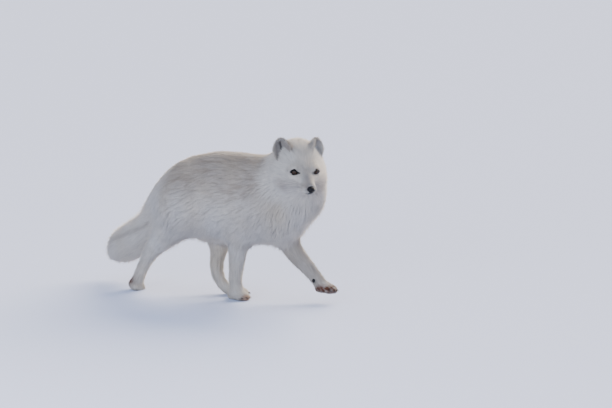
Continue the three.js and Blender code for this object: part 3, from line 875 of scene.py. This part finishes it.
def grown():
    """Every tuft of the coat: its root, knee and tip, width, colours and place on the unwrap."""
    columns = (table({k: v[i] for k, v in COAT.items()}, labels) for i in range(6))
    full, length, width, density, sink, wild = columns
    length, width, full, sink, wild = (near.smooth(v, 16) for v in (length, width, full, sink, wild))
    density = near.smooth(density, 8)
    thin = np.clip(depth / full, 0.25, 1.6)
    length = length * thin**0.8
    width = width * thin**0.25
    bare = np.ones(len(co))
    for s in EYES:
        p, _, past, edge = round_the_eye(co, s)
        bare *= 1 - step(past, 0.9, 0.4) * (p[:, 0] > 0) * step(p[:, 0] - edge, 3.6, 2.0)
    bare *= step(far_from(into(HEAD, co), NOSE), 0.0086, 0.0104)
    for s in (1, -1):
        bare *= step(nearest(lip_line(s), co)[1], 0.0008, 0.0018)
    picks, shares = sown(density * bare)
    count = len(picks)

    def carried(values):
        """A value per vertex, carried to the roots."""
        return np.einsum("nk,nk...->n...", shares, values[corner[picks]])

    root = carried(co)
    up = unit(carried(out))
    along = unit(carried(flow))
    erect = carried(standing)
    long = carried(length) * rng.uniform(0.75, 1.2, count)
    wide = carried(width) * rng.uniform(0.7, 1.35, count)
    lift = carried(coat_face - co)
    high = np.linalg.norm(lift, axis=1)
    label = labels[corner[picks, 0]]
    sway = 0.20 * ripple(root, 0.060, 21) + 0.07 * ripple(root, 0.020, 22) + rng.normal(0, 0.045, count)
    along = unit(along + np.cross(up, along) * sway[:, None])
    across = np.cross(up, along)
    reach = root + along * (long * (1 - 0.6 * erect))[:, None] + lift
    tips = np.empty_like(root)
    tip_up = np.empty_like(root)
    for i, p in enumerate(reach):
        tips[i], tip_up[i] = coat_tree.find_nearest(Vector(p))[:2]
    # A lock's tufts draw together at their tips, and its edges lie a little deeper, with painted shade darkening
    # them.
    lock = gathered(root, label, LOCK)
    pull = ((tips[lock] - tips) * across).sum(axis=1)
    pull = np.where(np.abs(pull) < long * 0.4, pull, 0)
    edge = np.clip(np.abs(pull) / (long * 0.16), 0, 1)
    tips = tips + across * (pull * 0.5)[:, None]
    stray = (rng.uniform(0, 1, count) < STRAYS) * np.minimum(rng.exponential(1, count), LONGEST_STRAY)
    fringe = np.isin(np.array(REGIONS)[label], ("trunk", "neck"))
    under = fringe * step(-tip_up[:, 2], 0.2, 0.7)
    stray *= carried(wild * thin) * (1 + BELLY_STRAYS * under)
    sunk = carried(sink) + rng.uniform(0, 0.20, count) + 0.09 * edge - 0.05 * ripple(root, 0.03, 23)
    sunk *= high
    tips = tips + tip_up * (stray - sunk)[:, None]
    # The belly's hair hangs, least where the belly is drawn up in front of the thighs.
    from_waist = (tips[:, 0] - MIDDLE.x) * 1000 - WAIST
    drawn_up = 0.6 * np.exp(-((from_waist / 16) ** 2))
    hang = fringe * step(-tip_up[:, 2], 0.1, 0.6) * rng.uniform(0.2, 1.2, count) * (1 - drawn_up)
    tips[:, 2] -= hang * BELLY_HANG
    bent = along * (long * 0.36 * (1 - 0.6 * erect))[:, None]
    knee = root + lift * 0.80 + bent + across * (pull * 0.25)[:, None]
    knee -= up * (sunk * 0.9)[:, None]
    colour = markings(root, up, label)
    shade = 1 + 0.02 * ripple(root, 0.012, 24) + rng.normal(0, 0.03, count)
    shade += 0.032 * rng.normal(0, 1, count)[lock]
    # Painted shade: a lock's edges are darkened.
    colour = colour * np.clip(shade - 0.05 * edge, 0.75, 1.08)[:, None]
    uv = np.einsum("nk,nkd->nd", shares, corner_uv[picks])
    return {
        "root": root, "knee": knee, "tip": tips, "up": up, "tip_up": tip_up,
        "wide": wide, "colour": colour, "uv": uv, "label": label,
    }


# A tuft's ten faces: a cap at its root, three sides up to its knee and three on to its point.
TUFT_FACES = np.array([
    [0, 1, 2], [0, 4, 1], [0, 3, 4], [1, 5, 2], [1, 4, 5], [2, 3, 0], [2, 5, 3], [3, 6, 4], [4, 6, 5], [5, 6, 3],
])
TUFT_SHADE = np.array([0.80, 0.80, 0.83, 0.96, 0.96, 0.99, 1.0])  # painted shade, a little darker towards the root, for the shade deep in the coat and the greyer underfur
ROOTED = 0.0012  # how deep in the skin a tuft starts
OFF_FLOOR = 0.0004  # hair under the paws stays this far off the floor
PATCH = 0.003  # how wide each tuft's patch is on the unwrap


def coat_piece(name, tufts, chosen):
    """One joined mesh of many tufts: each a closed lock of three sides that bends once and ends in a point."""
    t = {k: v[chosen] for k, v in tufts.items()}
    n = len(chosen)
    rooted = t["root"] - t["up"] * ROOTED
    lines = [(rooted, t["knee"] - t["root"], 0.6), (t["knee"], t["tip"] - t["root"], 1.0)]
    rings, facing = [], []
    for place, heading, share in lines:
        heading = unit(heading)
        across = unit(np.cross(heading, t["up"]))
        over = np.cross(across, heading)
        half = (t["wide"] * 0.5 * share)[:, None]
        rings += [place - across * half, place + across * half, place + over * half * 0.75]
        soft = unit(t["up"] + t["tip_up"])
        facing += [soft - across * 0.45, soft + across * 0.45, soft]
    verts = np.stack(rings + [t["tip"]], axis=1)
    verts[:, :, 2] = np.maximum(verts[:, :, 2], OFF_FLOOR)
    faces = (TUFT_FACES[None] + 7 * np.arange(n)[:, None, None]).reshape(-1, 3)
    mesh = bpy.data.meshes.new(name)
    mesh.vertices.add(n * 7)
    mesh.loops.add(len(faces) * 3)
    mesh.polygons.add(len(faces))
    mesh.vertices.foreach_set("co", verts.astype(np.float32).ravel())
    mesh.loops.foreach_set("vertex_index", faces.ravel().astype(np.int32))
    mesh.polygons.foreach_set("loop_start", np.arange(0, len(faces) * 3, 3, dtype=np.int32))
    mesh.update(calc_edges=True)
    # Painted shade: each tuft is darker towards its root.
    set_tint(mesh, (t["colour"][:, None, :] * TUFT_SHADE[None, :, None]).reshape(-1, 3))
    patch = np.array([[-1, -1], [1, -1], [0, -1], [-1, 0.2], [1, 0.2], [0, 0.2], [0, 1]]) * PATCH / 2
    uv = (t["uv"][:, None, :] + patch[None]).reshape(-1, 2)
    layer = mesh.uv_layers.new(name="OFBake")
    layer.data.foreach_set("uv", uv[faces.ravel()].astype(np.float32).ravel())
    obj = new_object(name, mesh, HAIR)
    # Shaded by the way the coat faces there, as hair that scatters light is, not by each tuft's own sides.
    soft = unit(np.stack(facing + [t["tip_up"]], axis=1)).reshape(-1, 3)
    mesh.normals_split_custom_set_from_vertices(soft.tolist())
    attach(obj, "root")


MOST_TUFTS = 19900  # in one mesh
# Small parts whose coat is joined.
JOINED = {"muzzle": "face", "head": "face", "ear": "face", "fore_leg": "legs", "hind_leg": "legs", "paw": "legs"}
tufts = grown()
groups = {}
for k, region in enumerate(REGIONS):
    groups.setdefault(JOINED.get(region, region), []).append(k)
for group, members in groups.items():
    mine = np.flatnonzero(np.isin(tufts["label"], members))
    for part, chosen in enumerate(np.array_split(mine, math.ceil(len(mine) / MOST_TUFTS))):
        coat_piece(f"coat_{group}_{part + 1}", tufts, chosen)
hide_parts(*FLESH, "ear_left", "ear_right")
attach(SKIN, "root")


# ---- Eyes ----
CORNEA_BULGE = 0.0009
IRIS_BROWN, EYE_BLACK, PUPIL_BLACK = rgb("33200f"), rgb("0a0706"), rgb("030303")


def eyeball(s, name):
    """A ball with a bulging cornea, a brown iris with fibres and an upright oval pupil."""
    bm = ball(48, 32, EYE_RADIUS)
    bmesh.ops.rotate(bm, verts=bm.verts, matrix=Matrix.Rotation(math.radians(90), 3, "Y"))
    from_axis = []
    for v in bm.verts:
        r = math.hypot(v.co.y, v.co.z)
        if v.co.x > 0:
            v.co.x += CORNEA_BULGE * math.exp(-((r / 0.0052) ** 4))
        from_axis.append((v.co.x, v.co.y * s, v.co.z))
    bmesh.ops.transform(bm, verts=bm.verts, matrix=EYES[s])
    obj = from_bmesh(name, bm, CORNEA)
    p = np.array(from_axis) * 1000
    r = np.hypot(p[:, 1], p[:, 2])
    angle = np.arctan2(p[:, 2], p[:, 1])
    fibres = 0.5 + 0.5 * np.sin(angle * 34 + 2.5 * np.sin(angle * 7))
    iris = IRIS_BROWN[None] * (0.75 + 0.5 * fibres[:, None])
    colour = toward(iris, EYE_BLACK, step(r, 3.6, 5.2))
    pupil = np.hypot(p[:, 1] / 1.3, p[:, 2] / 2.4)
    colour = toward(colour, PUPIL_BLACK, step(pupil, 1.15, 0.95))
    colour = toward(colour, EYE_BLACK, (p[:, 0] < 4).astype(float))
    set_tint(obj.data, colour)
    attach(obj, "root")
    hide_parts(name.replace("eyeball", "eye"))


def lid_rim(s, name):
    """The black edge of the lids: a soft ring drawn out to an almond, with its inner corner low."""
    thick = 0.22
    bm = bmesh.new()
    ring = bmesh.ops.create_circle(bm, segments=12, radius=thick)["verts"]
    bmesh.ops.rotate(bm, verts=ring, matrix=Matrix.Rotation(math.radians(90), 3, "X"))
    for v in ring:
        v.co = Vector((v.co.z, 1 + v.co.x, 0))
    geom = bm.verts[:] + bm.edges[:]
    bmesh.ops.spin(bm, geom=geom, cent=(0, 0, 0), axis=(1, 0, 0), angle=math.tau, steps=56, use_merge=True)
    bmesh.ops.remove_doubles(bm, verts=bm.verts, dist=1e-4)
    for v in bm.verts:
        phi = math.atan2(v.co.z, v.co.y)
        across, rise = math.cos(phi), math.sin(phi)
        inner = max(0, -across)  # 1 at the inner corner, which is longer and lower
        radial = (math.hypot(v.co.y, v.co.z) - 1) / thick
        axial = v.co.x / thick
        outer = HALF_WIDE * across
        z = float(lid_height(outer, rise > 0)) * (1 if rise > 0 else -1)
        outer_out = outer + across * radial * (1.35 + 0.6 * inner**4)
        z_out = z + rise * radial * (1.35 if rise > 0 else 1.0) - 0.9 * inner**3
        x = float(lid_depth(np.clip(outer, -9, 9), np.clip(z, -5, 5))) + axial * 0.75 - 0.25
        v.co = EYES[s] @ (Vector((x, s * (outer_out - INNER), z_out)) / 1000)
    obj = from_bmesh(name, bm, LID)
    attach(obj, "root")


for s, side in ((1, "left"), (-1, "right")):
    eyeball(s, f"eyeball_{side}")
    lid_rim(s, f"lid_rim_{side}")


# ---- Nose ----
def nose_pad():
    """The bare pad, wider above, with two nostrils, the slits beside them and the groove between."""
    bm = ball(64, 44)
    bmesh.ops.rotate(bm, verts=bm.verts, matrix=Matrix.Rotation(math.radians(90), 3, "Y"))
    for v in bm.verts:
        a, b, c = v.co
        top = 1 + 0.10 * max(0, c)
        low = 1 - 0.34 * step(-c, 0.1, 1.0)
        x = a * NOSE_SIZE.x * (1.0 if a > 0 else 0.85)
        y = b * NOSE_SIZE.y * top * low
        z = c * NOSE_SIZE.z * (0.92 if c > 0 else 1.0)
        if a > -0.2:
            hole = math.exp(-(((abs(b) - 0.42) / 0.17) ** 2) - ((c + 0.02) / 0.20) ** 2)
            slit = math.exp(-(((abs(b) - 0.74) / 0.20) ** 2) - ((c + 0.24 + 0.2 * (abs(b) - 0.7)) / 0.10) ** 2)
            groove = math.exp(-((b / 0.07) ** 2)) * step(-c, -0.25, 0.35)
            x -= 0.0034 * hole + 0.0022 * slit + 0.0009 * groove
        v.co = HEAD @ (NOSE + Vector((float(x), float(y), float(z))))
    obj = from_bmesh("nose_pad", bm, LEATHER)
    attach(obj, "root")
    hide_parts("nose")


nose_pad()


# ---- Claws, whiskers and the wrist's pad ----
def tapered(stops, radius, sides, tip):
    """A round tapering strand along a few stops, closed at both ends."""
    bm = bmesh.new()
    count = len(stops) - 1
    bmesh.ops.create_cone(bm, cap_ends=True, segments=sides, radius1=1.0, radius2=1.0, depth=1.0)
    long_edges = [e for e in bm.edges if abs(e.verts[0].co.z - e.verts[1].co.z) > 0.5]
    bmesh.ops.subdivide_edges(bm, edges=long_edges, cuts=max(count - 1, 1))
    for v in bm.verts:
        t = v.co.z + 0.5
        k = min(int(t * count), count - 1)
        heading = (stops[k + 1] - stops[k]).normalized()
        place = stops[k].lerp(stops[k + 1], t * count - k)
        side = heading.orthogonal().normalized()
        r = radius * (1 - (1 - tip) * t)
        v.co = place + (side * v.co.x + heading.cross(side) * v.co.y) * r
    return bm


def joined(parts, name, mat):
    """Many small shapes as one piece."""
    whole = bmesh.new()
    for bm in parts:
        bmesh.ops.recalc_face_normals(bm, faces=bm.faces)
        take_in(whole, bm)
    obj = from_bmesh(name, whole, mat)
    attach(obj, "root")


CLAW_RADIUS, WHISKER_RADIUS = 0.0015, 0.00022


def claws():
    parts = []
    for name, (paw, length) in PAWS.items():
        for k in (-1.5, -0.5, 0.5, 1.5):
            reach = length * (0.5 if abs(k) < 1 else 0.4) - TOE
            base = Vector((reach + 0.0030, k * PAW_WIDTH * 0.235, TOE * 1.15 - 0.0015))
            while (paw @ base).z < 0.0038:
                base.x -= 0.0008
            stops = [paw @ (base + Vector((0.0015 * i, 0, -0.00008 * i * i))) for i in range(6)]
            stops = [Vector((p.x, p.y, max(p.z, 0.0022))) for p in stops]
            parts.append(tapered(stops, CLAW_RADIUS, 8, 0.12))
    joined(parts, "claws", HORN)


def whiskers():
    parts = []
    r = np.random.default_rng(31)
    for s in (1, -1):
        for row in range(4):
            for k in range(4):
                base = Vector((0.040 - 0.006 * k, s * (0.010 + 0.0015 * k), -0.018 - 0.003 * row))
                out_way = Vector((-0.35 - 0.15 * k, s * 1.0, 0.18 - 0.16 * row + r.normal(0, 0.05))).normalized()
                reach = 0.034 + 0.005 * k + r.uniform(-0.004, 0.004)
                sag = Vector((-0.010, 0, -0.004))
                stops = [HEAD @ (base + out_way * reach * t + sag * t * t) for t in (i / 6 for i in range(7))]
                parts.append(tapered(stops, WHISKER_RADIUS, 5, 0.2))
    joined(parts, "whiskers", BRISTLE)


def wrist_pad():
    """The small bare pad behind the lifted paw's wrist."""
    bm = ball(20, 14)
    for v in bm.verts:
        v.co = at(168.6, 11.0, 49.6) + Vector((v.co.x * 3.6, v.co.y * 3.2, v.co.z * 4.4)) / 1000
    obj = from_bmesh("wrist_pad", bm, LEATHER)
    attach(obj, "root")


claws()
whiskers()
wrist_pad()

# ---- Setting: a pale floor, an overcast sky, a wide low sun behind and light back from the ground ----
SKY_COLOUR, SKY_STRENGTH = "c9d6f0", 1.28
SUN_HEADING, SUN_WIDTH = (-0.06, -0.95, -0.34), math.radians(60)
FILL_PLACE, FILL_WIDTH = Vector((0.3, -3.7, 0.6)), 2.4

floor = bmesh.new()
bmesh.ops.create_grid(floor, x_segments=2, y_segments=2, size=40.0)
floor = from_bmesh("floor", floor, GROUND, smooth=False)

world = bpy.data.worlds.new("overcast_sky")
world.use_nodes = True
sky = world.node_tree.nodes["Background"]
sky.inputs["Color"].default_value = linear(SKY_COLOUR)
sky.inputs["Strength"].default_value = SKY_STRENGTH
bpy.context.scene.world = world


def light(name, kind, place, heading, energy, colour):
    """A light at a place, shining along a heading."""
    data = bpy.data.lights.new(name, kind)
    data.energy = energy
    data.color = linear(colour)[:3]
    obj = bpy.data.objects.new(name, data)
    obj.location = place
    obj.rotation_euler = Vector(heading).to_track_quat("-Z", "Y").to_euler()
    bpy.context.scene.collection.objects.link(obj)
    return data


light("low_winter_sun", "SUN", (0, 0, 0), SUN_HEADING, 12.0, "ffeeda").angle = SUN_WIDTH
light("snow_light", "AREA", FILL_PLACE, Vector((0, 0, 0.2)) - FILL_PLACE, 152, "eef1fb").size = FILL_WIDTH

AZIMUTH, ELEVATION, DISTANCE = math.radians(28), math.radians(10), 24.0
SEEN_WIDTH = 1.3464  # how much the picture spans at the animal, in metres
SEEN_MIDDLE = at(155.6, 0, 222)
camera_data = bpy.data.cameras.new("camera")
camera = bpy.data.objects.new("camera", camera_data)
back = Vector((
    math.sin(AZIMUTH) * math.cos(ELEVATION),
    -math.cos(AZIMUTH) * math.cos(ELEVATION),
    math.sin(ELEVATION),
))
camera_data.sensor_width = 36.0
camera_data.lens = camera_data.sensor_width * DISTANCE / SEEN_WIDTH
camera_data.clip_end = 200
camera.location = SEEN_MIDDLE + back * DISTANCE
camera.rotation_euler = (-back).to_track_quat("-Z", "Y").to_euler()
bpy.context.scene.collection.objects.link(camera)
bpy.context.scene.camera = camera
